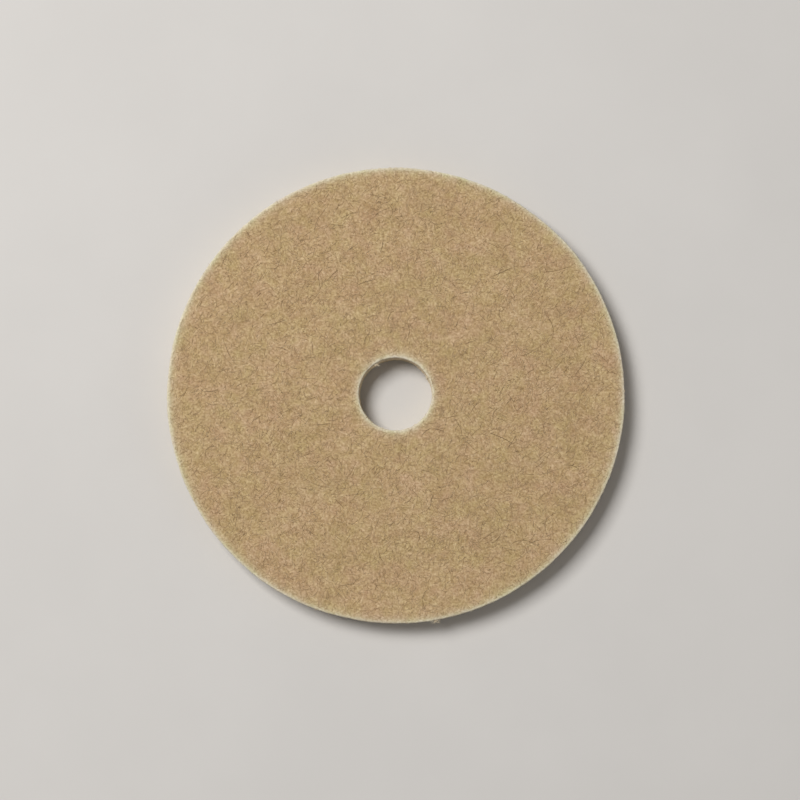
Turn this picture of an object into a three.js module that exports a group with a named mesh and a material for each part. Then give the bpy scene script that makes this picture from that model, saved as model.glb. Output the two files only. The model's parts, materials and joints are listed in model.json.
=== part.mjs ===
// A laminated felt polishing wheel: a flat disc with a plain arbor hole.
// Tan hair felt faces both sides, two cream wool felts make the core, and a woven scrim lies
// between them so that the disc can't stretch. Thin bond films hold the facings to the core.
// The layers are bonded first and the wheel is cut from them, so every layer ends on one outline,
// whose edges are rounded over at the rim and at the arbor hole.
//
// Millimetres, +Z up. The origin is on the arbor's axis, in the plane of the back face.

import * as THREE from "three";

// Driving dimensions.
const WHEEL_DIAMETER = 100;
const WHEEL_THICKNESS = 6;
const ARBOR_DIAMETER = 16;
const FACING_THICKNESS = 0.8; // each of the two hair felts
const BOND_THICKNESS = 0.1; // each of the two adhesive films
const SCRIM_THICKNESS = 0.3; // the woven layer in the middle
const RIM_ROUND = 0.3; // radius of the rounded edges round the rim
const BORE_ROUND = 0.3; // radius of the rounded edges round the arbor hole

// How finely round shapes are divided.
const ROUND_SEGMENTS = 96; // flats round the wheel
const EDGE_STEPS = 6; // steps over each rounded edge
const LEAST_STEP = 0.008; // a step nearer than this to a layer's face is left out

// What the wheel's thickness leaves for the two core felts, once the other layers are in.
const CORE_THICKNESS =
  (WHEEL_THICKNESS - 2 * FACING_THICKNESS - 2 * BOND_THICKNESS - SCRIM_THICKNESS) / 2;

// Finishes.
const hairFelt = () => felt("#b39770", 1.0);
const woolFelt = () => felt("#beb39a", 0.95);
const scrimCloth = () => felt("#d9d0ba", 0.85);
const bondFilm = () => felt("#c2a468", 0.5);

// The layers from the back face up: node name, thickness and finish.
const LAYERS = [
  ["back_felt", FACING_THICKNESS, hairFelt],
  ["back_bond", BOND_THICKNESS, bondFilm],
  ["back_core_felt", CORE_THICKNESS, woolFelt],
  ["scrim", SCRIM_THICKNESS, scrimCloth],
  ["front_core_felt", CORE_THICKNESS, woolFelt],
  ["front_bond", BOND_THICKNESS, bondFilm],
  ["front_felt", FACING_THICKNESS, hairFelt],
];

function felt(color, roughness) {
  return new THREE.MeshStandardMaterial({ color, roughness, metalness: 0 });
}

// A rounded edge meets its twin at mid thickness at the most.
function limitedRound(round) {
  return Math.min(round, WHEEL_THICKNESS / 2);
}

// How far the cut edge stands back from a square cut, at a height above the back face.
function standBack(height, round) {
  const depth = Math.min(height, WHEEL_THICKNESS - height);
  const rise = round - THREE.MathUtils.clamp(depth, 0, round);
  return round - Math.sqrt(round * round - rise * rise);
}

// The heights of a layer's edge points: its two faces, and the steps of the curve between them.
function edgeHeights(low, high, round) {
  const steps = [];
  for (let i = 0; i <= EDGE_STEPS; i += 1) {
    const depth = round * (1 - Math.cos((i / EDGE_STEPS) * (Math.PI / 2)));
    steps.push(depth, WHEEL_THICKNESS - depth);
  }
  const between = steps.filter((h) => h > low + LEAST_STEP && h < high - LEAST_STEP);
  return [low, ...between.sort((a, b) => a - b), high];
}

// One cut edge of a layer as radius and height, from its lower face to its upper face.
// The outward side is +1 for the rim and -1 for the arbor hole.
function cutEdge(low, high, radius, round, outward) {
  return edgeHeights(low, high, round).map(
    (height) => new THREE.Vector2(radius - outward * standBack(height, round), height - low),
  );
}

// A layer of the wheel between two heights, as a ring that stands on its own lower face.
function layerRing(low, high) {
  const rim = cutEdge(low, high, WHEEL_DIAMETER / 2, limitedRound(RIM_ROUND), 1);
  const bore = cutEdge(low, high, ARBOR_DIAMETER / 2, limitedRound(BORE_ROUND), -1);
  const outline = [...rim, ...bore.reverse(), rim[0]];
  return new THREE.LatheGeometry(outline, ROUND_SEGMENTS).rotateX(Math.PI / 2);
}

function makeWheel() {
  const wheel = new THREE.Group();
  let height = 0;
  for (const [name, thickness, finish] of LAYERS) {
    const mesh = new THREE.Mesh(layerRing(height, height + thickness), finish());
    mesh.name = name;
    mesh.position.z = height;
    wheel.add(mesh);
    height += thickness;
  }
  return wheel;
}

export default makeWheel();
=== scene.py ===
"""Looks of a laminated felt polishing wheel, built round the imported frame.

Seven bonded layers: a tan hair felt on each face, a cream wool core in two halves, a woven scrim
between the halves, and two thin bond films. Loose fibres lie on the faces and stand out of the
cut edges. Everything is in metres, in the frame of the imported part, with +Z along the arbor.
"""

import json
import math

import bpy
import numpy as np
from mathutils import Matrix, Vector
from mathutils.bvhtree import BVHTree

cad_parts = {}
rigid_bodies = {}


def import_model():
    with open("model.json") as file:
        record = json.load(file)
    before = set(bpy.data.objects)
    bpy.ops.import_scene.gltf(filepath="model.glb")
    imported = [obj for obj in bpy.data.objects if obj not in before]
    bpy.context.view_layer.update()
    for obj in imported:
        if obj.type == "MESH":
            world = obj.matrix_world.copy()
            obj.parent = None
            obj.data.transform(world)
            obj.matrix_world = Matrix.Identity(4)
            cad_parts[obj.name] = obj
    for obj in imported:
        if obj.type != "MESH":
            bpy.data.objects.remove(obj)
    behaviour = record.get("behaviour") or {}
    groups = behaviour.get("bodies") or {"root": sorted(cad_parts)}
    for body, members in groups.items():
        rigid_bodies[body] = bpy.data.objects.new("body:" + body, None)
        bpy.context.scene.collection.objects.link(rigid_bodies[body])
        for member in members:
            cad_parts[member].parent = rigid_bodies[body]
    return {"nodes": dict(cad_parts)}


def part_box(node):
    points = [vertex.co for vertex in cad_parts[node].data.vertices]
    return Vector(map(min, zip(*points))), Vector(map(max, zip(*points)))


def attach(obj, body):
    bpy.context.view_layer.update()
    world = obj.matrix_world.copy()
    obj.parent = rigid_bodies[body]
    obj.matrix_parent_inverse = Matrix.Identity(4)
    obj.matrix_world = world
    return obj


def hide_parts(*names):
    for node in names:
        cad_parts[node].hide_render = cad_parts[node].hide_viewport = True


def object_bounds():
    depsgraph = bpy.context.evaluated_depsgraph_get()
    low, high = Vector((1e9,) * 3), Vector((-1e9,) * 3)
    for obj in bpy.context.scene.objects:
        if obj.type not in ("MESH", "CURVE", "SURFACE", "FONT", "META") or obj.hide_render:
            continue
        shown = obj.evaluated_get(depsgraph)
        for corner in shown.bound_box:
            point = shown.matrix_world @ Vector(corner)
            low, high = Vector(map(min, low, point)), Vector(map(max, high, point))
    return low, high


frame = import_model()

bl_info = {
    "name": "Felt polishing wheel",
    "version": (1, 0, 0),
    "blender": (4, 5, 0),
    "location": "3D View > Sidebar > Felt wheel",
    "description": "Builds the felt layers, loose fibres and studio of a laminated polishing wheel",
    "category": "Object",
}

MM = 0.001
SAME_PLACE = 1e-6  # corners nearer than this are one corner
SMOOTH_ANGLE = math.radians(50)  # creases flatter than this are shaded smooth

# ---- the frame's own sizes

CAD_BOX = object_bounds()
RIM_RADIUS = CAD_BOX[1].x
THICKNESS = CAD_BOX[1].z


def cad_radii(node, height):
    """The smallest and largest radius of a CAD node's corners at one height."""
    corners = [v.co for v in frame["nodes"][node].data.vertices]
    radii = [math.hypot(c.x, c.y) for c in corners if abs(c.z - height) < 0.01 * MM]
    return min(radii), max(radii)


BORE_RADIUS = cad_radii("scrim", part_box("scrim")[0].z)[0]
FLAT_INNER, FLAT_OUTER = cad_radii("front_felt", THICKNESS)
RIM_ROUND = RIM_RADIUS - FLAT_OUTER
BORE_ROUND = FLAT_INNER - BORE_RADIUS
MIDDLE_RADIUS = (RIM_RADIUS + BORE_RADIUS) / 2


def stand_back(height, rounding):
    """How far a rounded edge stands back from a square one at a height, for numbers or arrays."""
    depth = np.clip(np.minimum(height, THICKNESS - height), 0, rounding)
    return rounding - np.sqrt(np.maximum(rounding**2 - (rounding - depth) ** 2, 0))


# ---- what a user would change


def length(name, default, description):
    """A length in metres, shown in the scene's own unit."""
    return bpy.props.FloatProperty(
        name=name, description=description, default=default, min=0, unit="LENGTH", precision=5
    )


def number(name, default, description):
    """A whole number of pieces or divisions."""
    return bpy.props.IntProperty(name=name, description=description, default=default, min=1)


def share(name, default, description):
    """A part of the whole, from 0 to 1."""
    return bpy.props.FloatProperty(
        name=name, description=description, default=default, min=0, max=1, subtype="FACTOR"
    )


def colour(name, default, description):
    """A linear colour."""
    return bpy.props.FloatVectorProperty(
        name=name, description=description, default=default, min=0, max=1, subtype="COLOR"
    )


def angle(name, degrees, description):
    """An angle, given in degrees and held in radians."""
    turn = math.radians(degrees)
    return bpy.props.FloatProperty(name=name, description=description, default=turn, subtype="ANGLE")


def watts(name, default, description):
    """The power of a light."""
    return bpy.props.FloatProperty(
        name=name, description=description, default=default, min=0, unit="POWER"
    )


def position(name, default, description):
    """A position along an axis, on either side of the origin."""
    return bpy.props.FloatProperty(
        name=name, description=description, default=default, unit="LENGTH", precision=5
    )


class FeltSizes(bpy.types.PropertyGroup):
    """Sizes of the felt layers' surfaces."""

    round_segments: number("Segments", 720, "Divisions round the wheel")
    face_pitch: length("Face pitch", 0.42 * MM, "Spacing of the rings across a working face")
    edge_pitch: length("Edge pitch", 0.25 * MM, "Spacing of the rings down a cut edge")
    hidden_pitch: length("Hidden pitch", 12 * MM, "Spacing of the rings between bonded layers")
    seam_fade: length("Seam fade", 0.22 * MM, "Width over which the relief dies out at a seam")
    wander: length("Wander", 0.55 * MM, "How far the cut outline wanders from a true circle")
    wander_span: length("Wander span", 17 * MM, "Size of the outline's wanderings")
    lump_depth: length("Lump depth", 0.12 * MM, "Depth of the broad unevenness of a felt face")
    lump_span: length("Lump span", 3.2 * MM, "Size of that unevenness")
    tangle_depth: length("Tangle depth", 0.12 * MM, "Depth of the matted fibre relief")
    tangle_span: length("Tangle span", 0.9 * MM, "Size of the matted fibre relief")
    film_segments: number("Film segments", 480, "Divisions round the scrim and the bond films")
    film_draw: length("Film draw", 0.04 * MM, "How far the bond films stand back at the cut edges")
    yarn_pitch: length("Yarn pitch", 3.2 * MM, "Spacing of the scrim's yarns")
    yarn_crimp: length("Yarn crimp", 0.03 * MM, "How far the scrim's yarns rise and fall")


class FibreSizes(bpy.types.PropertyGroup):
    """Numbers and sizes of the loose fibres."""

    seed: number("Seed", 41, "Starting number of the random draws")
    pale_fibres: number("Pale fibres", 6200, "Pale tan fibres that lie on each face")
    tan_fibres: number("Tan fibres", 5200, "Deeper tan fibres that lie on each face")
    dark_hairs: number("Dark hairs", 2000, "Brown hairs that lie in each face")
    long_hairs: number("Long hairs", 70, "Longer stray brown hairs on each face")
    nap: number("Nap", 5200, "Short fibres that lift off each face")
    edge_fibres: number("Edge fibres", 5200, "Wool fibres that lie along the rim")
    edge_fuzz: number("Edge fuzz", 1500, "Short wool fibres that stand out of the rim")
    tuft: number("Tuft", 26, "Fibres in each loose tuft at a cut edge")
    fibre_width: length("Fibre width", 0.085 * MM, "Thickness of a tan fibre")
    hair_width: length("Hair width", 0.1 * MM, "Thickness of a dark hair")
    nap_width: length("Nap width", 0.07 * MM, "Thickness of the nap's fibres")
    wool_width: length("Wool width", 0.07 * MM, "Thickness of a wool fibre")


class WheelColours(bpy.types.PropertyGroup):
    """Colours of the felts, films and fibres."""

    tan: colour("Tan felt", (0.44, 0.307, 0.163), "Mean colour of the hair felt")
    tan_dark: colour("Deep tan", (0.335, 0.222, 0.108), "Hair felt between its fibres")
    tan_pale: colour("Pale tan", (0.58, 0.435, 0.26), "Hair felt's brightest fibres")
    tan_worn: colour("Worn tan", (0.575, 0.538, 0.375), "Hair felt where an edge has rubbed it pale")
    tan_corner: colour("Rubbed corner", (0.63, 0.575, 0.45), "Fibre ends at the corners of the cut")
    hair: colour("Dark hair", (0.19, 0.115, 0.05), "The darkest hairs in the tan felt")
    wool: colour("Cream wool", (0.67, 0.54, 0.36), "Mean colour of the core felt")
    wool_dark: colour("Deep wool", (0.52, 0.4, 0.24), "Core felt between its fibres")
    wool_pale: colour("Pale wool", (0.78, 0.69, 0.52), "Core felt's brightest fibres")
    scrim: colour("Scrim yarn", (0.72, 0.66, 0.54), "The scrim's cotton yarn")
    bond: colour("Bond film", (0.42, 0.28, 0.12), "Set adhesive between the felts")
    floor: colour("Floor", (0.6, 0.585, 0.57), "The studio floor")


class StageSettings(bpy.types.PropertyGroup):
    """Light, floor and camera."""

    key_power: watts("Key power", 12.5, "Power of the soft key light")
    key_size: length("Key size", 0.5, "Width of the key light's square face")
    key_distance: length("Key distance", 1.1, "From the wheel to the key light")
    key_bearing: angle("Key bearing", 141, "Bearing of the key light, from +X towards +Y")
    key_height: angle("Key height", 57.5, "Angle of the key light above the floor")
    fill_power: watts("Fill power", 1.3, "Power of the low fill light")
    fill_height: angle("Fill height", 16, "Angle of the fill light above the floor")
    sky: share("Sky", 0.2, "Strength of the even light from all round")
    backdrop: share("Backdrop", 0.58, "How pale the background looks past the floor")
    lens: bpy.props.FloatProperty(
        name="Lens", description="Focal length in millimetres", default=100, min=20
    )
    view_width: length("View width", 174.83 * MM, "Width of the picture at the wheel's rim")
    lean: angle("Lean", 4.7, "How far the camera leans away from straight above")
    lean_bearing: angle("Lean bearing", -75, "Bearing the camera leans towards, from +X towards +Y")
    aim_x: position("Aim X", 1.0 * MM, "Where the camera looks, along X")
    aim_y: position("Aim Y", -1.33 * MM, "Where the camera looks, along Y")
    floor_size: length("Floor size", 2.2, "Width of the floor")


# ---- shader building blocks


def add(tree, kind, inputs=None, **settings):
    """Adds a shader node. Each input is a socket to link, or a value to set."""
    node = tree.nodes.new(kind)
    for name, value in settings.items():
        setattr(node, name, value)
    for key, value in (inputs or {}).items():
        if isinstance(value, bpy.types.NodeSocket):
            tree.links.new(value, node.inputs[key])
        else:
            node.inputs[key].default_value = value
    return node


def maths(tree, operation, a, b=0.0):
    """Arithmetic on two values, each a socket or a number."""
    return add(tree, "ShaderNodeMath", {0: a, 1: b}, operation=operation).outputs[0]


def vector_maths(tree, operation, a, b):
    """Arithmetic on two vectors, each a socket or three numbers."""
    return add(tree, "ShaderNodeVectorMath", {0: a, 1: b}, operation=operation).outputs[0]


def blend(tree, factor, a, b, mode="MIX"):
    """Mixes two colours, each a socket or a value, by a factor."""
    node = add(tree, "ShaderNodeMix", {0: factor, 6: a, 7: b}, data_type="RGBA", blend_type=mode)
    return node.outputs[2]


def remap(tree, value, low, high, to_low=0.0, to_high=1.0, smooth=True):
    """Carries low..high to to_low..to_high, and holds the ends beyond them."""
    ends = {"Value": value, 1: low, 2: high, 3: to_low, 4: to_high}
    kind = "SMOOTHSTEP" if smooth else "LINEAR"
    return add(tree, "ShaderNodeMapRange", ends, interpolation_type=kind).outputs[0]


def noise(tree, vector, span, detail=1.0, roughness=0.5):
    """A noise whose lumps are about span metres across."""
    inputs = {"Vector": vector, "Scale": 1 / span, "Detail": detail, "Roughness": roughness}
    return add(tree, "ShaderNodeTexNoise", inputs)


def solid(rgb):
    """An opaque colour, for a colour socket."""
    return (*rgb, 1.0)


def dimmed(rgb, part):
    """A darker shade of a colour."""
    return [part * value for value in rgb]


def new_group(name, inputs, outputs):
    """A shader node group with its entry and exit. Inputs are (name, kind, default)."""
    group = bpy.data.node_groups.new(name, "ShaderNodeTree")
    for socket_name, kind, default in inputs:
        socket = group.interface.new_socket(socket_name, in_out="INPUT", socket_type=kind)
        if default is not None:
            socket.default_value = default
    for socket_name, kind in outputs:
        group.interface.new_socket(socket_name, in_out="OUTPUT", socket_type=kind)
    return group, group.nodes.new("NodeGroupInput"), group.nodes.new("NodeGroupOutput")


SHARED_GROUPS = {}  # the node groups made so far, by the name of the function that makes each


def placed_group(tree, make, inputs):
    """Puts a shared node group in a material. It is made the first time it is asked for."""
    if make.__name__ not in SHARED_GROUPS:
        SHARED_GROUPS[make.__name__] = make()
    return add(tree, "ShaderNodeGroup", inputs, node_tree=SHARED_GROUPS[make.__name__]).outputs


FLOAT, VECTOR = "NodeSocketFloat", "NodeSocketVector"
STREAK_TURNS = (17, 62, 107, 152)  # degrees from +X to each set of streaks
STREAK_BEND = 3 * MM  # how far the streaks are bent aside
BEND_SPAN = 4 * MM  # size of their bends
HUE_PLACE = (0.31, 0.17, 0.0)  # where the hue's noise is read, away from the tone's


def fibre_streaks():
    """Fine bent streaks that cross at several angles, as matted fibres do."""
    group, entry, leave = new_group(
        "Fibre streaks",
        [("Vector", VECTOR, None), ("Width", FLOAT, 0.3 * MM), ("Length", FLOAT, 3 * MM)],
        [("Fibres", FLOAT), ("Deepest", FLOAT)],
    )
    place = entry.outputs["Vector"]
    bend = noise(group, place, BEND_SPAN).outputs["Color"]
    centred = vector_maths(group, "SUBTRACT", bend, (0.5, 0.5, 0.5))
    reach = vector_maths(group, "MULTIPLY", centred, [STREAK_BEND] * 3)
    bent = vector_maths(group, "ADD", place, reach)
    across = maths(group, "DIVIDE", 1.0, entry.outputs["Width"])
    along = maths(group, "DIVIDE", 1.0, entry.outputs["Length"])
    squeeze = add(group, "ShaderNodeCombineXYZ", {0: along, 1: across, 2: across}).outputs[0]
    highest, total = None, None
    for turn in STREAK_TURNS:
        inputs = {"Vector": bent, "Angle": math.radians(turn)}
        turned = add(group, "ShaderNodeVectorRotate", inputs, rotation_type="Z_AXIS").outputs[0]
        drawn = vector_maths(group, "MULTIPLY", turned, squeeze)
        streak = noise(group, drawn, 1.0, 2.0).outputs["Fac"]
        highest = streak if highest is None else maths(group, "MAXIMUM", highest, streak)
        total = streak if total is None else maths(group, "ADD", total, streak)
    group.links.new(remap(group, highest, 0.42, 0.8), leave.inputs["Fibres"])
    group.links.new(remap(group, total, 1.6, 2.4), leave.inputs["Deepest"])
    return group


def soft_blotches():
    """Broad uneven patches of tone, and others of hue."""
    group, entry, leave = new_group(
        "Soft blotches",
        [("Vector", VECTOR, None), ("Span", FLOAT, 12 * MM)],
        [("Tone", FLOAT), ("Hue", FLOAT)],
    )
    place = entry.outputs["Vector"]
    apart = vector_maths(group, "ADD", place, HUE_PLACE)
    for name, vector in (("Tone", place), ("Hue", apart)):
        patch = noise(group, vector, 1.0, 3.0, 0.55)
        group.links.new(maths(group, "DIVIDE", 1.0, entry.outputs["Span"]), patch.inputs["Scale"])
        group.links.new(remap(group, patch.outputs["Fac"], 0.3, 0.7), leave.inputs[name])
    return group


def edge_wear():
    """Wear that grows from the flat of a face to its cut edge, and the rubbed corner itself."""
    group, entry, leave = new_group(
        "Edge wear",
        [("Vector", VECTOR, None), ("Reach", FLOAT, 0.8 * MM), ("Unevenness", FLOAT, 0.5 * MM)],
        [("Wear", FLOAT), ("Corner", FLOAT)],
    )
    place = entry.outputs["Vector"]
    flat = vector_maths(group, "MULTIPLY", place, (1.0, 1.0, 0.0))
    radius = add(group, "ShaderNodeVectorMath", {0: flat}, operation="LENGTH").outputs["Value"]
    to_rim = maths(group, "SUBTRACT", RIM_RADIUS, radius)
    to_bore = maths(group, "SUBTRACT", radius, BORE_RADIUS)
    nearest = maths(group, "MINIMUM", to_rim, to_bore)
    ragged = noise(group, place, 1.2 * MM, 3.0).outputs["Fac"]
    shift = maths(group, "MULTIPLY", maths(group, "SUBTRACT", ragged, 0.5), entry.outputs["Unevenness"])
    distance = maths(group, "MAXIMUM", maths(group, "ADD", nearest, shift), 0.0)
    height = add(group, "ShaderNodeSeparateXYZ", {0: place}).outputs["Z"]
    depth = maths(group, "MINIMUM", height, maths(group, "SUBTRACT", THICKNESS, height))
    on_top = remap(group, depth, 0.2 * MM, 0.5 * MM, 1.0, 0.15)
    for name, narrowing, power in (("Wear", 1.0, 1.25), ("Corner", 0.4, 2.0)):
        reach = maths(group, "MULTIPLY", entry.outputs["Reach"], narrowing)
        ratio = maths(group, "DIVIDE", distance, reach)
        fall = maths(group, "MULTIPLY", maths(group, "POWER", ratio, power), -1.0)
        worn = maths(group, "MULTIPLY", maths(group, "EXPONENT", fall), on_top)
        group.links.new(worn, leave.inputs[name])
    return group


def new_material(name, roughness, sheen=0.0):
    """A material with its Principled BSDF, and the piece's own coordinates."""
    material = bpy.data.materials.new(name)
    material.use_nodes = True
    tree = material.node_tree
    shader = tree.nodes["Principled BSDF"]
    shader.inputs["Roughness"].default_value = roughness
    shader.inputs["Specular IOR Level"].default_value = 0.2
    shader.inputs["Sheen Weight"].default_value = sheen
    shader.inputs["Sheen Roughness"].default_value = 0.6
    place = add(tree, "ShaderNodeTexCoord").outputs["Object"]
    return material, tree, shader, place


def dress(tree, shader, tone, rough, height=None, depth=0.0, strength=0.6):
    """Links a material's colour, its roughness if that varies, and a bump if a height is given."""
    tree.links.new(tone, shader.inputs["Base Color"])
    if rough:
        tree.links.new(rough, shader.inputs["Roughness"])
    if height:
        inputs = {"Height": height, "Distance": depth, "Strength": strength}
        bump = add(tree, "ShaderNodeBump", inputs)
        tree.links.new(bump.outputs[0], shader.inputs["Normal"])


# Soft light over the felt's colour, from the low to the high end of each mask.
SPECK_LIGHT = (0.32, 0.32, 0.32), (0.68, 0.68, 0.68)
COARSE_LIGHT = (0.44, 0.44, 0.44), (0.56, 0.56, 0.56)
TONE_LIGHT = (0.46, 0.455, 0.45), (0.54, 0.54, 0.54)
HUE_LIGHT = (0.515, 0.49, 0.508), (0.485, 0.51, 0.472)
FLECK_LIGHT = (0.508, 0.492, 0.532), (0.492, 0.508, 0.468)
LIGHT_SHARE = 0.95  # how much of each layer of soft light is kept


def felt_material(name, deep, mean, pale, worn, corner, sheen=0.15):
    """Matted fibre: tone by streaks of two sizes, speckle, soft blotches, and paler worn edges."""
    material, tree, shader, place = new_material(name, 0.95, sheen)
    fine, coarse = (
        placed_group(tree, fibre_streaks, {"Vector": place, "Width": width * MM, "Length": long * MM})
        for width, long in ((0.45, 2.6), (1.3, 6))
    )
    patch, fleck = (
        placed_group(tree, soft_blotches, {"Vector": place, "Span": span * MM}) for span in (7, 2.6)
    )
    wear = placed_group(
        tree, edge_wear, {"Vector": place, "Reach": 0.95 * MM, "Unevenness": 0.6 * MM}
    )
    shade = blend(tree, fine["Fibres"], solid(deep), solid(pale))
    shade = blend(tree, 0.4, shade, solid(mean))
    shade = blend(tree, maths(tree, "MULTIPLY", wear["Wear"], 0.9), shade, solid(worn))
    shade = blend(tree, maths(tree, "MULTIPLY", wear["Corner"], 0.8), shade, solid(corner))
    speck = noise(tree, place, 0.5 * MM, 2.0, 0.75).outputs["Fac"]
    layers = (
        (remap(tree, speck, 0.3, 0.7), SPECK_LIGHT),
        (coarse["Fibres"], COARSE_LIGHT),
        (patch["Tone"], TONE_LIGHT),
        (patch["Hue"], HUE_LIGHT),
        (fleck["Hue"], FLECK_LIGHT),
    )
    for mask, (low, high) in layers:
        light = blend(tree, mask, solid(low), solid(high))
        shade = blend(tree, LIGHT_SHARE, shade, light, "SOFT_LIGHT")
    rough = remap(tree, fine["Fibres"], 0, 1, 0.98, 0.82)
    heap = maths(tree, "ADD", fine["Fibres"], maths(tree, "MULTIPLY", coarse["Deepest"], 0.8))
    dress(tree, shader, shade, rough, maths(tree, "ADD", heap, speck), 0.08 * MM)
    return material


def hair_felt_material(c):
    """Tan hair felt, rubbed pale along its cut edges."""
    return felt_material("Hair felt", c.tan_dark, c.tan, c.tan_pale, c.tan_worn, c.tan_corner)


def wool_felt_material(c):
    """Cream wool felt."""
    return felt_material("Wool felt", c.wool_dark, c.wool, c.wool_pale, c.wool, c.wool_pale)


def scrim_material(colours, pitch):
    """Plain weave: yarns that pass over and under one another, with painted shade in the gaps between
    them.
    """
    material, tree, shader, place = new_material("Scrim cloth", 0.9)
    split = add(tree, "ShaderNodeSeparateXYZ", {0: place})
    yarns = []
    for axis in ("X", "Y"):
        wave = maths(tree, "SINE", maths(tree, "MULTIPLY", split.outputs[axis], math.pi / pitch))
        yarns.append(maths(tree, "ABSOLUTE", wave))
    twist = noise(tree, place, 0.25 * MM, 2.0).outputs["Fac"]
    weave = maths(tree, "ADD", maths(tree, "MAXIMUM", *yarns), maths(tree, "MULTIPLY", twist, 0.3))
    # The gaps between the yarns are painted darker than the yarn itself: painted shade in the weave's
    # hollows.
    gap = dimmed(colours.scrim, 0.6)
    tone = blend(tree, remap(tree, weave, 0.75, 1.1), solid(gap), solid(colours.scrim))
    dress(tree, shader, tone, remap(tree, twist, 0.3, 0.7, 0.95, 0.8), twist, 0.04 * MM)
    return material


def bond_material(colours):
    """A thin film of set adhesive, pitted by the fibres it has soaked into."""
    material, tree, shader, place = new_material("Bond film", 0.5)
    pits = noise(tree, place, 0.5 * MM, 3.0).outputs["Fac"]
    streaks = placed_group(
        tree, fibre_streaks, {"Vector": place, "Width": 0.4 * MM, "Length": 2 * MM}
    )
    soaked = blend(tree, streaks["Fibres"], solid(colours.bond), solid(colours.tan_pale))
    dress(tree, shader, soaked, remap(tree, pits, 0.3, 0.7, 0.75, 0.4), pits, 0.05 * MM)
    return material


def fibre_material(name, shades, sheen=0.1):
    """Loose fibres. Across the UV map lies each fibre's own shade, and up it the way to its tip."""
    material, tree, shader, _ = new_material(name, 0.75, sheen)
    place = add(tree, "ShaderNodeUVMap", uv_map=FIBRE_MAP).outputs[0]
    split = add(tree, "ShaderNodeSeparateXYZ", {0: place})
    ramp = add(tree, "ShaderNodeValToRGB", {"Fac": split.outputs["X"]})
    marks = ramp.color_ramp.elements
    for i in range(1, len(shades) - 1):
        marks.new(i / (len(shades) - 1))
    for mark, shade in zip(marks, shades):
        mark.color = solid(shade)
    ends = maths(tree, "ABSOLUTE", maths(tree, "SUBTRACT", split.outputs["Y"], 0.5))
    faded = blend(tree, remap(tree, ends, 0.3, 0.5, 0.0, 0.35), ramp.outputs[0], solid(shades[-1]))
    dress(tree, shader, faded, remap(tree, ends, 0.0, 0.5, 0.65, 0.9))
    return material


# ---- felt layers


def start_point(name):
    """Adds a new mesh at the origin as one loose corner, and leaves it in edit mode."""
    bpy.ops.object.select_all(action="DESELECT")
    bpy.ops.mesh.primitive_plane_add(size=THICKNESS, location=(0, 0, 0))
    piece = bpy.context.active_object
    piece.name = name
    piece.data.name = name
    bpy.ops.object.mode_set(mode="EDIT")
    bpy.ops.mesh.select_all(action="SELECT")
    bpy.ops.mesh.merge(type="CENTER")
    return piece


def spun_ring(name, outline, segments):
    """A closed ring: its outline, (radius, height) points in order, spun about the arbor's axis."""
    piece = start_point(name)
    bpy.ops.transform.translate(value=(outline[0][0], 0, outline[0][1]))
    for (radius, height), (last_radius, last_height) in zip(outline[1:] + outline[:1], outline):
        step = (radius - last_radius, 0, height - last_height)
        bpy.ops.mesh.extrude_region_move(TRANSFORM_OT_translate={"value": step})
    bpy.ops.mesh.select_all(action="SELECT")
    bpy.ops.mesh.remove_doubles(threshold=SAME_PLACE)
    bpy.ops.mesh.spin(
        steps=segments, angle=2 * math.pi, center=(0, 0, 0), axis=(0, 0, 1), use_auto_merge=True
    )
    bpy.ops.mesh.select_all(action="SELECT")
    bpy.ops.mesh.remove_doubles(threshold=SAME_PLACE)
    bpy.ops.mesh.normals_make_consistent(inside=False)
    bpy.ops.object.mode_set(mode="OBJECT")
    return piece


def evenly(low, high, pitch):
    """Values from low to high with about this pitch, both ends included."""
    steps = max(1, round(abs(high - low) / pitch))
    return [low + (high - low) * i / steps for i in range(steps + 1)]


def edge_heights(low, high, rounding, pitch):
    """Heights down a cut edge between two heights, evenly spaced along its rounded outline."""
    pitch_round = min(pitch, rounding / 3)  # a quarter turn has at least five steps
    turns = evenly(0, math.pi / 2, pitch_round / rounding)
    depths = [rounding * (1 - math.cos(turn)) for turn in turns]
    straight = evenly(rounding, THICKNESS - rounding, pitch)
    every = depths + straight + [THICKNESS - depth for depth in depths]
    margin = pitch_round / 5  # a step nearer than this to a face is left out
    between = {round(h, 8) for h in every if low + margin < h < high - margin}
    return [low, *sorted(between), high]


def layer_outline(low, high, face_pitches, edge_pitch):
    """The outline of a layer from its lower face to its upper face. face_pitches is (lower, upper)."""
    rim, bore = (
        [
            (radius - outwards * float(stand_back(h, rounding)), h)
            for h in edge_heights(low, high, rounding, edge_pitch)
        ]
        for radius, rounding, outwards in ((RIM_RADIUS, RIM_ROUND, 1), (BORE_RADIUS, BORE_ROUND, -1))
    )
    upper = [(radius, high) for radius in evenly(rim[-1][0], bore[-1][0], face_pitches[1])]
    lower = [(radius, low) for radius in evenly(bore[0][0], rim[0][0], face_pitches[0])]
    return rim + upper[1:-1] + bore[::-1] + lower[1:-1]


def mark_open_surface(piece, covered, fade):
    """A vertex group that is 1 in the open and falls to 0 at the heights where a layer is covered."""
    group = piece.vertex_groups.new(name="open surface")
    levels = 10  # steps between covered and open
    members = {}
    for corner in piece.data.vertices:
        nearest = min(abs(corner.co.z - height) for height in covered)
        members.setdefault(round(min(nearest / fade, 1) * levels), []).append(corner.index)
    for level, indices in members.items():
        group.add(indices, level / levels, "REPLACE")
    return group.name


def lumps(name, span, depth):
    """A procedural cloud texture with lumps about span metres across."""
    texture = bpy.data.textures.get(name) or bpy.data.textures.new(name, "CLOUDS")
    texture.noise_scale = span
    texture.noise_depth = depth
    texture.noise_basis = "IMPROVED_PERLIN"
    return texture


def pick(piece):
    """Makes a piece the only one selected, and the active one."""
    bpy.ops.object.select_all(action="DESELECT")
    piece.select_set(True)
    bpy.context.view_layer.objects.active = piece


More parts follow.
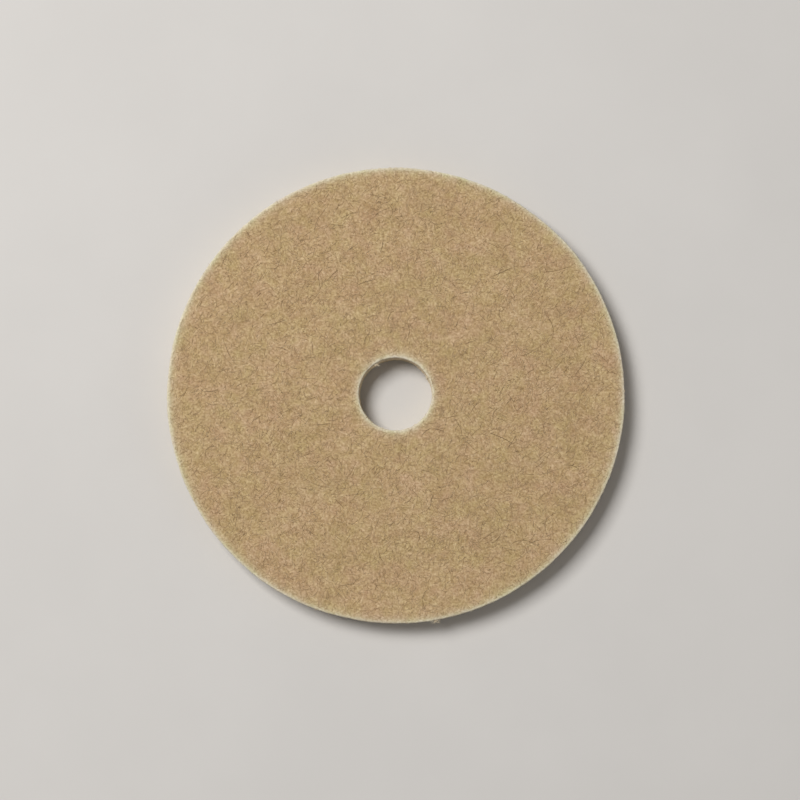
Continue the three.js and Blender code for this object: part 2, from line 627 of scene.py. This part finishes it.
def displace(piece, texture, strength, direction="NORMAL", group=""):
    """Moves a piece's surface by a texture, and applies the move."""
    pick(piece)
    bpy.ops.object.modifier_add(type="DISPLACE")
    modifier = piece.modifiers[-1]
    modifier.texture = texture
    modifier.texture_coords = "LOCAL"
    modifier.strength = strength
    modifier.mid_level = 0.5
    modifier.direction = direction
    modifier.vertex_group = group
    bpy.ops.object.modifier_apply(modifier=modifier.name)


def wander(piece, sizes):
    """Bends a piece's plan a little, as every layer was cut by one not quite true cut."""
    displace(piece, lumps("Wander X", sizes.wander_span, 1), sizes.wander, "X")
    displace(piece, lumps("Wander Y", sizes.wander_span * 1.1, 2), sizes.wander, "Y")


def finish_piece(piece, material, node):
    """Gives a layer its material, and ties it to the frame in its CAD node's place."""
    piece.data.materials.clear()
    piece.data.materials.append(material)
    pick(piece)
    bpy.ops.object.shade_smooth_by_angle(angle=SMOOTH_ANGLE)
    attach(piece, "root")
    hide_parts(node)
    return piece


def layer_heights(node):
    """The heights of the lower and the upper face of a CAD layer."""
    return [corner.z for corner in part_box(node)]


def felt_ring(name, node, pitches, covered, sizes):
    """A felt layer in a CAD node's place, with relief wherever nothing covers it."""
    outline = layer_outline(*layer_heights(node), pitches, sizes.edge_pitch)
    piece = spun_ring(name, outline, sizes.round_segments)
    group = mark_open_surface(piece, covered, sizes.seam_fade)
    displace(piece, lumps("Felt lumps", sizes.lump_span, 2), sizes.lump_depth, group=group)
    displace(piece, lumps("Felt tangle", sizes.tangle_span, 2), sizes.tangle_depth, group=group)
    wander(piece, sizes)
    return piece


def facing(side, sizes, material):
    """One hair felt facing, with relief all over its open face and edges."""
    node = f"{side}_felt"
    low, high = layer_heights(node)
    covered, pitches = high, (sizes.face_pitch, sizes.hidden_pitch)
    if side == "front":
        covered, pitches = low, pitches[::-1]
    piece = felt_ring(f"{side}_facing", node, pitches, [covered], sizes)
    return finish_piece(piece, material, node)


def core(side, sizes, material):
    """One half of the wool core, with relief on its cut edges."""
    node = f"{side}_core_felt"
    pitches = [sizes.hidden_pitch] * 2
    piece = felt_ring(f"{side}_core", node, pitches, layer_heights(node), sizes)
    return finish_piece(piece, material, node)


def bond_film(side, sizes, material):
    """One adhesive film, which the felts' fibres have drawn in a little from the cut edge."""
    node = f"{side}_bond"
    outline = layer_outline(*layer_heights(node), [sizes.hidden_pitch] * 2, sizes.edge_pitch)
    drawn = [(r - math.copysign(sizes.film_draw, r - MIDDLE_RADIUS), h) for r, h in outline]
    piece = spun_ring(f"{side}_bond_film", drawn, sizes.film_segments)
    wander(piece, sizes)
    return finish_piece(piece, material, node)


def scrim_cloth(sizes, colours):
    """The woven scrim: yarns that rise and fall over one another, and end at the cut edges."""
    low, high = layer_heights("scrim")
    low, high = low + sizes.yarn_crimp, high - sizes.yarn_crimp
    outline = layer_outline(low, high, [sizes.yarn_pitch / 2] * 2, sizes.yarn_crimp)
    piece = spun_ring("scrim_cloth", outline, sizes.film_segments)
    turn = math.pi / sizes.yarn_pitch
    for corner in piece.data.vertices:
        place = corner.co
        warp, weft = math.sin(place.x * turn), math.sin(place.y * turn)
        radius = math.hypot(place.x, place.y)
        nearest = min(RIM_RADIUS - radius, radius - BORE_RADIUS)
        # A yarn's end stands out by one crimp at most, and a gap back by two.
        end = sizes.yarn_crimp * (3 * max(abs(warp), abs(weft)) - 2)
        outwards = math.copysign(1, radius - MIDDLE_RADIUS)
        grown = 1 + outwards * end / radius if nearest < sizes.yarn_crimp else 1
        corner.co = (place.x * grown, place.y * grown, place.z + sizes.yarn_crimp * warp * weft)
    wander(piece, sizes)
    return finish_piece(piece, scrim_material(colours, sizes.yarn_pitch), "scrim")


# ---- loose fibres

FIBRE_MAP = "OFBake"  # the fibres' own UV map: shade across, the way to the tip up
FIBRE_POINTS = 7  # points along a fibre, its two tips included
FINE_POINTS = 31  # points along a fibre before it is trimmed
SHADE_WIDTH = 0.006  # how much of the shade axis one side of a fibre takes up
LOWEST = -0.1 * MM  # fibres under the wheel are pressed flat, no lower than this
EDGE_MARGIN = 0.12 * MM  # the edge's fibres keep this far from the two faces
NAP_RISE = {"front": (0.15, 0.75), "back": (0.02, 0.08)}  # how steeply each face's nap stands


class Surface:
    """The skin of some finished layers, to lay fibres on."""

    def __init__(self, pieces):
        corners, faces = [], []
        for piece in pieces:
            start = len(corners)
            corners += [corner.co.copy() for corner in piece.data.vertices]
            faces += [[start + i for i in face.vertices] for face in piece.data.polygons]
        self.tree = BVHTree.FromPolygons(corners, faces)

    def hits(self, origins, directions):
        """Where rays meet the skin: points and outward normals. A miss gives nan."""
        points = np.full(origins.shape, np.nan)
        normals = np.full(origins.shape, np.nan)
        for i, (origin, direction) in enumerate(zip(origins.tolist(), directions.tolist())):
            place, normal, _, _ = self.tree.ray_cast(origin, direction)
            if place is not None:
                points[i] = place
                normals[i] = normal
        return points, normals

    def face_points(self, plan, side):
        """Points of a working face under plan positions, with their normals."""
        sign = 1 if side == "front" else -1
        origins = np.column_stack([plan, np.full(len(plan), sign * 3 * THICKNESS)])
        directions = np.tile([0.0, 0.0, -sign], (len(plan), 1))
        return self.hits(origins, directions)

    def edge_points(self, bearings, heights, edge):
        """Points of a cut edge at bearings and heights, with their normals."""
        outward = np.column_stack([np.cos(bearings), np.sin(bearings), np.zeros(len(bearings))])
        start = 1.2 * RIM_RADIUS if edge == "rim" else 0.0
        origins = outward * start
        origins[:, 2] = heights
        return self.hits(origins, -outward if edge == "rim" else outward)


def random_lengths(rng, count, low, high):
    """Lengths between two ends, with more short ones than long ones."""
    return low + (high - low) * rng.beta(1.3, 2.6, count)


def curling_paths(rng, starts, lengths, curl, bearings=None):
    """Flat paths of FINE_POINTS points, each with its own gentle curl, as (count, points, 2)."""
    count = len(starts)
    if bearings is None:
        bearings = rng.uniform(0, 2 * math.pi, count)
    way = np.linspace(0, 1, FINE_POINTS)[None]
    sweep = rng.normal(0, curl, (count, 1)) * way
    wave = rng.normal(0, curl * 0.6, (count, 1))
    phase = rng.uniform(0, 2 * math.pi, (count, 1))
    rate = rng.uniform(2, 7, (count, 1))
    heading = bearings[:, None] + sweep + wave * np.sin(rate * way + phase)
    step = lengths[:, None] / (FINE_POINTS - 1)
    run = np.cumsum(np.cos(heading) * step, axis=1) - np.cos(heading[:, :1]) * step
    rise = np.cumsum(np.sin(heading) * step, axis=1) - np.sin(heading[:, :1]) * step
    return starts[:, None] + np.stack([run, rise], axis=2)


def trimmed(paths, inside, least=0.3):
    """Cuts each path where it first leaves the ground allowed. Drops those left too short."""
    kept = np.cumprod(inside, axis=1).sum(axis=1)
    long_enough = kept >= max(3, least * FINE_POINTS)
    paths, kept = paths[long_enough], kept[long_enough]
    spots = np.linspace(0, 1, FIBRE_POINTS)[None] * (kept[:, None] - 1)
    before = np.floor(spots).astype(int)
    after = np.minimum(before + 1, kept[:, None] - 1)
    part = (spots - before)[:, :, None]
    first = np.take_along_axis(paths, before[:, :, None], axis=1)
    second = np.take_along_axis(paths, after[:, :, None], axis=1)
    return first * (1 - part) + second * part


def ring_starts(rng, count, inner, outer):
    """Random plan positions spread evenly over a ring."""
    radius = np.sqrt(rng.uniform(inner**2, outer**2, count))
    bearing = rng.uniform(0, 2 * math.pi, count)
    return np.column_stack([radius * np.cos(bearing), radius * np.sin(bearing)])


def weaving_lift(rng, count, mean, swing):
    """How far each point of each fibre lies above the skin: it weaves, and both tips dip in."""
    way = np.linspace(0, 1, FIBRE_POINTS)[None]
    rate = rng.uniform(2, 9, (count, 1))
    phase = rng.uniform(0, 2 * math.pi, (count, 1))
    dip = np.abs(2 * way - 1) ** 6
    return mean + swing * np.sin(rate * way + phase) - dip * (mean + 1.5 * swing)


def lay_on_face(rng, skin, side, count, ring, lengths, curl, lift):
    """Fibres that lie on a face between two radii. Gives their points and the skin's normals."""
    inner, outer = ring
    starts = ring_starts(rng, count, inner, outer)
    paths = curling_paths(rng, starts, random_lengths(rng, count, *lengths), curl)
    radius = np.hypot(paths[..., 0], paths[..., 1])
    paths = trimmed(paths, (radius > inner) & (radius < outer))
    points, normals = skin.face_points(paths.reshape(-1, 2), side)
    return raised(rng, points, normals, lift)


def lay_on_edge(rng, skin, edge, count, heights, lengths, curl, lift):
    """Fibres that lie along a cut edge between two heights, mostly level."""
    low, high = heights
    radius = RIM_RADIUS if edge == "rim" else BORE_RADIUS
    bearings = rng.uniform(0, 2 * math.pi, count)
    starts = np.column_stack([bearings * radius, rng.uniform(low, high, count)])
    slant = rng.normal(0, 0.45, count) + math.pi * rng.integers(0, 2, count)
    paths = curling_paths(rng, starts, random_lengths(rng, count, *lengths), curl, slant)
    paths = trimmed(paths, (paths[..., 1] > low) & (paths[..., 1] < high))
    flat = paths.reshape(-1, 2)
    points, normals = skin.edge_points(flat[:, 0] / radius, flat[:, 1], edge)
    return raised(rng, points, normals, lift)


def raised(rng, points, normals, lift):
    """Lifts laid points off the skin, and drops any fibre that missed it."""
    points = points.reshape(-1, FIBRE_POINTS, 3)
    normals = normals.reshape(-1, FIBRE_POINTS, 3)
    whole = ~np.isnan(points).any(axis=(1, 2))
    points, normals = points[whole], normals[whole]
    return points + normals * weaving_lift(rng, len(points), *lift)[..., None], normals


def stand_up(rng, points, normals, lengths, rise, curl=0.5):
    """Fibres that spring from points of the skin, lean over and curl."""
    whole = ~np.isnan(points).any(axis=1)
    points, normals, lengths = points[whole], normals[whole], lengths[whole]
    rise = rng.uniform(*rise, len(points))[:, None, None]
    loose = rng.normal(0, 1, points.shape)
    flat = loose - normals * (loose * normals).sum(axis=1, keepdims=True)
    flat /= np.linalg.norm(flat, axis=1, keepdims=True)
    aside = np.cross(normals, flat) * rng.normal(0, curl, (len(points), 1))
    way = np.linspace(0, 1, FIBRE_POINTS)[None, :, None]
    run = np.sqrt(1 - rise**2)
    path = normals[:, None] * rise * way * (1.5 - 0.5 * way)
    path = path + flat[:, None] * run * way + aside[:, None] * way**2
    rooted = points - normals * 0.05 * MM
    return rooted[:, None] + path * lengths[:, None, None], np.repeat(normals[:, None], FIBRE_POINTS, 1)


def joined(batches):
    """Several batches of (points, normals) as one."""
    return tuple(np.concatenate(part) for part in zip(*batches))


def new_object(name, data):
    """An object in the scene, for a mesh, a lamp or a camera."""
    made = bpy.data.objects.new(name, data)
    bpy.context.scene.collection.objects.link(made)
    return made


def fibre_piece(name, rng, laid, width, shades, material):
    """A piece of three-sided fibres that taper to their tips, with their own UV map."""
    points, normals = laid
    points[..., 2] = np.maximum(points[..., 2], LOWEST)
    count = len(points)
    rings = FIBRE_POINTS - 2
    along = np.gradient(points, axis=1)
    along /= np.linalg.norm(along, axis=2, keepdims=True) + 1e-12
    aside = np.cross(along, normals)
    aside /= np.linalg.norm(aside, axis=2, keepdims=True) + 1e-12
    above = np.cross(aside, along)
    thick = width * rng.uniform(0.6, 1.3, (count, 1, 1)) / 2
    taper = np.array([0.75, *[1.0] * (rings - 2), 0.6])[None, :, None]
    corners = [points[:, :1]]
    for turn in (90, 210, 330):
        offset = math.cos(math.radians(turn)) * aside + math.sin(math.radians(turn)) * above
        corners.append(points[:, 1:-1] + offset[:, 1:-1] * thick * taper)
    corners.append(points[:, -1:])
    places = np.concatenate(corners, axis=1)
    per_fibre = places.shape[1]
    shade = np.clip(rng.normal(*shades, count), 0.02, 0.96)
    triangles, spots = fibre_triangles(rings)
    every = (np.arange(count)[:, None, None] * per_fibre + triangles[None]).reshape(-1, 3)
    mesh = bpy.data.meshes.new(name)
    mesh.from_pydata(places.reshape(-1, 3).tolist(), [], every.tolist())
    mesh.polygons.foreach_set("use_smooth", np.ones(len(every), dtype=bool))
    uv = np.tile(spots, (count, 1, 1))
    uv[..., 0] += shade[:, None]
    mesh.uv_layers.new(name=FIBRE_MAP).data.foreach_set("uv", uv.reshape(-1))
    mesh.update()
    piece = new_object(name, mesh)
    mesh.materials.append(material)
    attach(piece, "root")
    return piece


def fibre_triangles(rings):
    """One fibre's triangles as corner numbers, and each corner's place on the UV map."""
    triangles, spots = [], []
    for side in range(3):
        left, right = side * SHADE_WIDTH, (side + 1) * SHADE_WIDTH
        near, far = (
            [(1 + line % 3 * rings + i, (across, (i + 1) / (rings + 1))) for i in range(rings)]
            for line, across in ((side, left), (side + 1, right))
        )
        root = (0, ((left + right) / 2, 0))
        tip = (1 + 3 * rings, ((left + right) / 2, 1))
        fans = [(root, far[0], near[0])]
        for i in range(rings - 1):
            fans += [(near[i], far[i], far[i + 1]), (near[i], far[i + 1], near[i + 1])]
        fans.append((near[-1], far[-1], tip))
        triangles += [[number for number, _ in fan] for fan in fans]
        spots += [spot for fan in fans for _, spot in fan]
    return np.array(triangles), np.array(spots)


# ---- operators

SIDES = ("front", "back")
TUFTS = (("rim", -80), ("bore", 125), ("bore", 25))  # the edge, and the bearing in degrees
LIGHT_TINT = (1.0, 0.985, 0.96)
SKY_TINT = (1.0, 0.985, 0.965)


def settings():
    """The scene's property groups: felt sizes, fibre sizes, colours and stage."""
    scene = bpy.context.scene
    return scene.felt_sizes, scene.fibre_sizes, scene.wheel_colours, scene.stage_settings


class WHEEL_OT_stage(bpy.types.Operator):
    """Set up the camera, the pale floor and the soft studio light"""

    bl_idname = "wheel.stage"
    bl_label = "Stage"

    def execute(self, context):
        _, _, colours, stage = settings()
        add_camera(stage)
        add_lights(stage)
        add_floor(stage, colours)
        return {"FINISHED"}


def add_camera(stage):
    """A long lens almost straight above the wheel, with +Y up in the picture."""
    data = bpy.data.cameras.new("Camera")
    data.lens = stage.lens
    camera = new_object("Camera", data)
    target = Vector((stage.aim_x, stage.aim_y, THICKNESS - RIM_ROUND))
    back = heading(stage.lean_bearing, math.pi / 2 - stage.lean)
    camera.location = target + back * stage.view_width * stage.lens / data.sensor_width
    camera.rotation_euler = Vector((0, 0, 1)).rotation_difference(back).to_euler()
    bpy.context.scene.camera = camera


def heading(bearing, height):
    """The direction of a bearing round the wheel and an angle above the floor."""
    flat = math.cos(height)
    return Vector((flat * math.cos(bearing), flat * math.sin(bearing), math.sin(height)))


def add_lamp(name, power, size, distance, bearing, height):
    """A soft square light that faces the wheel from a bearing and a height angle."""
    data = bpy.data.lights.new(name, "AREA")
    data.shape = "SQUARE"
    data.size = size
    data.energy = power
    data.color = LIGHT_TINT
    lamp = new_object(name, data)
    lamp.location = heading(bearing, height) * distance
    lamp.rotation_euler = lamp.location.to_track_quat("Z", "Y").to_euler()


def add_lights(stage):
    """A large soft light from the upper left, a low fill opposite it, and an even sky."""
    size, distance = stage.key_size, stage.key_distance
    add_lamp("Key", stage.key_power, size, distance, stage.key_bearing, stage.key_height)
    opposite = stage.key_bearing + math.pi
    add_lamp("Fill", stage.fill_power, size, distance, opposite, stage.fill_height)
    world = bpy.data.worlds.new("Sky")
    world.use_nodes = True
    background = world.node_tree.nodes["Background"]
    background.inputs["Color"].default_value = solid(SKY_TINT)
    seen = add(world.node_tree, "ShaderNodeLightPath").outputs["Is Camera Ray"]
    strength = remap(world.node_tree, seen, 0, 1, stage.sky, stage.backdrop, smooth=False)
    world.node_tree.links.new(strength, background.inputs["Strength"])
    bpy.context.scene.world = world
    bpy.context.scene.view_settings.view_transform = "Standard"


def add_floor(stage, colours):
    """A plain pale floor with a faint unevenness."""
    bpy.ops.object.select_all(action="DESELECT")
    bpy.ops.mesh.primitive_grid_add(
        x_subdivisions=8, y_subdivisions=8, size=stage.floor_size, location=(0, 0, 0)
    )
    floor = bpy.context.active_object
    floor.name = "floor"
    material, tree, shader, place = new_material("Floor", 0.85)
    cloud = noise(tree, place, 60 * MM, 4.0, 0.6).outputs["Fac"]
    grit = noise(tree, place, 0.8 * MM, 2.0).outputs["Fac"]
    dim = dimmed(colours.floor, 0.965)
    shade = blend(tree, remap(tree, cloud, 0.3, 0.7), solid(dim), solid(colours.floor))
    dress(tree, shader, shade, None, grit, 0.03 * MM, 0.4)
    floor.data.materials.append(material)


class WHEEL_OT_facings(bpy.types.Operator):
    """Build the two hair felt facings"""

    bl_idname = "wheel.facings"
    bl_label = "Facings"

    def execute(self, context):
        sizes, _, colours, _ = settings()
        material = hair_felt_material(colours)
        for side in SIDES:
            facing(side, sizes, material)
        return {"FINISHED"}


class WHEEL_OT_cores(bpy.types.Operator):
    """Build the two halves of the wool core"""

    bl_idname = "wheel.cores"
    bl_label = "Cores"

    def execute(self, context):
        sizes, _, colours, _ = settings()
        material = wool_felt_material(colours)
        for side in SIDES:
            core(side, sizes, material)
        return {"FINISHED"}


class WHEEL_OT_scrim(bpy.types.Operator):
    """Build the woven scrim in the middle of the wheel"""

    bl_idname = "wheel.scrim"
    bl_label = "Scrim"

    def execute(self, context):
        sizes, _, colours, _ = settings()
        scrim_cloth(sizes, colours)
        return {"FINISHED"}


class WHEEL_OT_bond_films(bpy.types.Operator):
    """Build the two adhesive films"""

    bl_idname = "wheel.bond_films"
    bl_label = "Bond films"

    def execute(self, context):
        sizes, _, colours, _ = settings()
        material = bond_material(colours)
        for side in SIDES:
            bond_film(side, sizes, material)
        return {"FINISHED"}


class WHEEL_OT_face_fibres(bpy.types.Operator):
    """Lay the loose fibres, hairs and nap on both faces"""

    bl_idname = "wheel.face_fibres"
    bl_label = "Face fibres"

    def execute(self, context):
        _, fibres, colours, _ = settings()
        pale = fibre_material("Pale fibre", [colours.tan, colours.tan_pale])
        tan = fibre_material("Tan fibre", [colours.tan_dark, colours.tan])
        dark = fibre_material("Dark hair", [colours.hair, colours.tan_dark])
        skin = Surface([bpy.data.objects[f"{side}_facing"] for side in SIDES])
        for turn, side in enumerate(SIDES):
            rng = np.random.default_rng(fibres.seed + turn)
            laid = lay_matting(rng, skin, side, fibres, pale, tan)
            laid += lay_hairs(rng, skin, side, fibres, dark)
        return {"FINISHED"}


def lay_matting(rng, skin, side, fibres, pale, tan):
    """The pale and the tan fibres of one face, and its nap. Gives the pieces."""
    ring = (BORE_RADIUS + 0.3 * MM, RIM_RADIUS - 0.35 * MM)
    kinds = (
        ("pale", fibres.pale_fibres, 0.03 * MM, pale),
        ("tan", fibres.tan_fibres, 0.0, tan),
    )
    lengths = (1.2 * MM, 6 * MM)
    pieces = []
    for name, count, lift, material in kinds:
        laid = lay_on_face(rng, skin, side, count, ring, lengths, 0.8, (lift, 0.05 * MM))
        full_name = f"{side}_{name}_fibres"
        pieces.append(fibre_piece(full_name, rng, laid, fibres.fibre_width, (0.5, 0.22), material))
    starts = ring_starts(rng, fibres.nap, *ring)
    springs = skin.face_points(starts, side)
    tall = random_lengths(rng, len(starts), 0.3 * MM, 1.1 * MM)
    laid = stand_up(rng, *springs, tall, NAP_RISE[side])
    nap = fibre_piece(f"{side}_nap", rng, laid, fibres.nap_width, (0.75, 0.25), pale)
    return [*pieces, nap]


def lay_hairs(rng, skin, side, fibres, dark):
    """The short brown hairs of one face, and the longer stray ones. Gives the pieces."""
    ring = (BORE_RADIUS + 1.3 * MM, RIM_RADIUS - 1.5 * MM)
    kinds = (
        ("hairs", fibres.dark_hairs, (1 * MM, 6 * MM), 0.45, (-0.01 * MM, 0.05 * MM), (0.62, 0.27)),
        ("long_hairs", fibres.long_hairs, (3.5 * MM, 9 * MM), 0.7, (0.04 * MM, 0.02 * MM), (0.2, 0.15)),
    )
    pieces = []
    for name, count, lengths, curl, lift, shades in kinds:
        laid = lay_on_face(rng, skin, side, count, ring, lengths, curl, lift)
        pieces.append(fibre_piece(f"{side}_{name}", rng, laid, fibres.hair_width, shades, dark))
    return pieces


class WHEEL_OT_edge_fibres(bpy.types.Operator):
    """Lay the wool fibres along the rim and the bore, and the fuzz that stands out of them"""

    bl_idname = "wheel.edge_fibres"
    bl_label = "Edge fibres"

    def execute(self, context):
        _, fibres, colours, _ = settings()
        wool = fibre_material("Wool fibre", [colours.wool_dark, colours.wool, colours.wool_pale])
        names = [f"{side}_{layer}" for layer in ("facing", "core") for side in SIDES]
        skin = Surface([bpy.data.objects[name] for name in names])
        rng = np.random.default_rng(fibres.seed + len(SIDES))
        heights = (EDGE_MARGIN, THICKNESS - EDGE_MARGIN)
        batches = {}
        for edge, share_of in (("rim", 1.0), ("bore", BORE_RADIUS / RIM_RADIUS)):
            count = round(fibres.edge_fibres * share_of)
            spans = (0.8 * MM, 4 * MM)
            laid = lay_on_edge(rng, skin, edge, count, heights, spans, 0.6, (0.0, 0.04 * MM))
            batches[f"{edge}_fibres"] = laid, (0.6, 0.3)
            count = round(fibres.edge_fuzz * share_of)
            bearings = rng.uniform(0, 2 * math.pi, count)
            springs = skin.edge_points(bearings, rng.uniform(*heights, count), edge)
            tall = random_lengths(rng, count, 0.2 * MM, 0.8 * MM)
            batches[f"{edge}_fuzz"] = stand_up(rng, *springs, tall, (0.1, 0.55)), (0.7, 0.2)
        batches["tufts"] = joined([tuft(rng, skin, fibres, *spot) for spot in TUFTS]), (0.8, 0.15)
        pieces = [
            fibre_piece(name, rng, laid, fibres.wool_width, shades, wool)
            for name, (laid, shades) in batches.items()
        ]
        return {"FINISHED"}


def tuft(rng, skin, fibres, edge, bearing):
    """A few loose fibres that stand out of the upper corner of a cut edge together."""
    radius = RIM_RADIUS if edge == "rim" else BORE_RADIUS
    bearings = math.radians(bearing) + rng.normal(0, 0.35 * MM / radius, fibres.tuft)
    heights = THICKNESS - rng.uniform(0.2 * MM, 0.7 * MM, fibres.tuft)
    springs = skin.edge_points(bearings, heights, edge)
    tall = random_lengths(rng, fibres.tuft, 0.5 * MM, 1.5 * MM)
    return stand_up(rng, *springs, tall, (0.5, 0.95))


class WHEEL_PT_panel(bpy.types.Panel):
    """Builds the wheel, a group of pieces at a time"""

    bl_idname = "WHEEL_PT_panel"
    bl_label = "Felt polishing wheel"
    bl_space_type = "VIEW_3D"
    bl_region_type = "UI"
    bl_category = "Felt wheel"

    def draw(self, context):
        for operator in OPERATORS:
            self.layout.operator(operator.bl_idname)


OPERATORS = (
    WHEEL_OT_stage,
    WHEEL_OT_facings,
    WHEEL_OT_cores,
    WHEEL_OT_scrim,
    WHEEL_OT_bond_films,
    WHEEL_OT_face_fibres,
    WHEEL_OT_edge_fibres,
)
GROUPS = {
    "felt_sizes": FeltSizes,
    "fibre_sizes": FibreSizes,
    "wheel_colours": WheelColours,
    "stage_settings": StageSettings,
}
CLASSES = (*GROUPS.values(), *OPERATORS, WHEEL_PT_panel)


def register():
    for made in CLASSES:
        bpy.utils.register_class(made)
    for name, group in GROUPS.items():
        setattr(bpy.types.Scene, name, bpy.props.PointerProperty(type=group))


def unregister():
    for name in GROUPS:
        delattr(bpy.types.Scene, name)
    for made in reversed(CLASSES):
        bpy.utils.unregister_class(made)


def main():
    register()
    bpy.ops.wheel.stage()
    bpy.ops.wheel.facings()
    bpy.ops.wheel.cores()
    bpy.ops.wheel.scrim()
    bpy.ops.wheel.bond_films()
    bpy.ops.wheel.face_fibres()
    bpy.ops.wheel.edge_fibres()


if __name__ == "__main__":
    main()
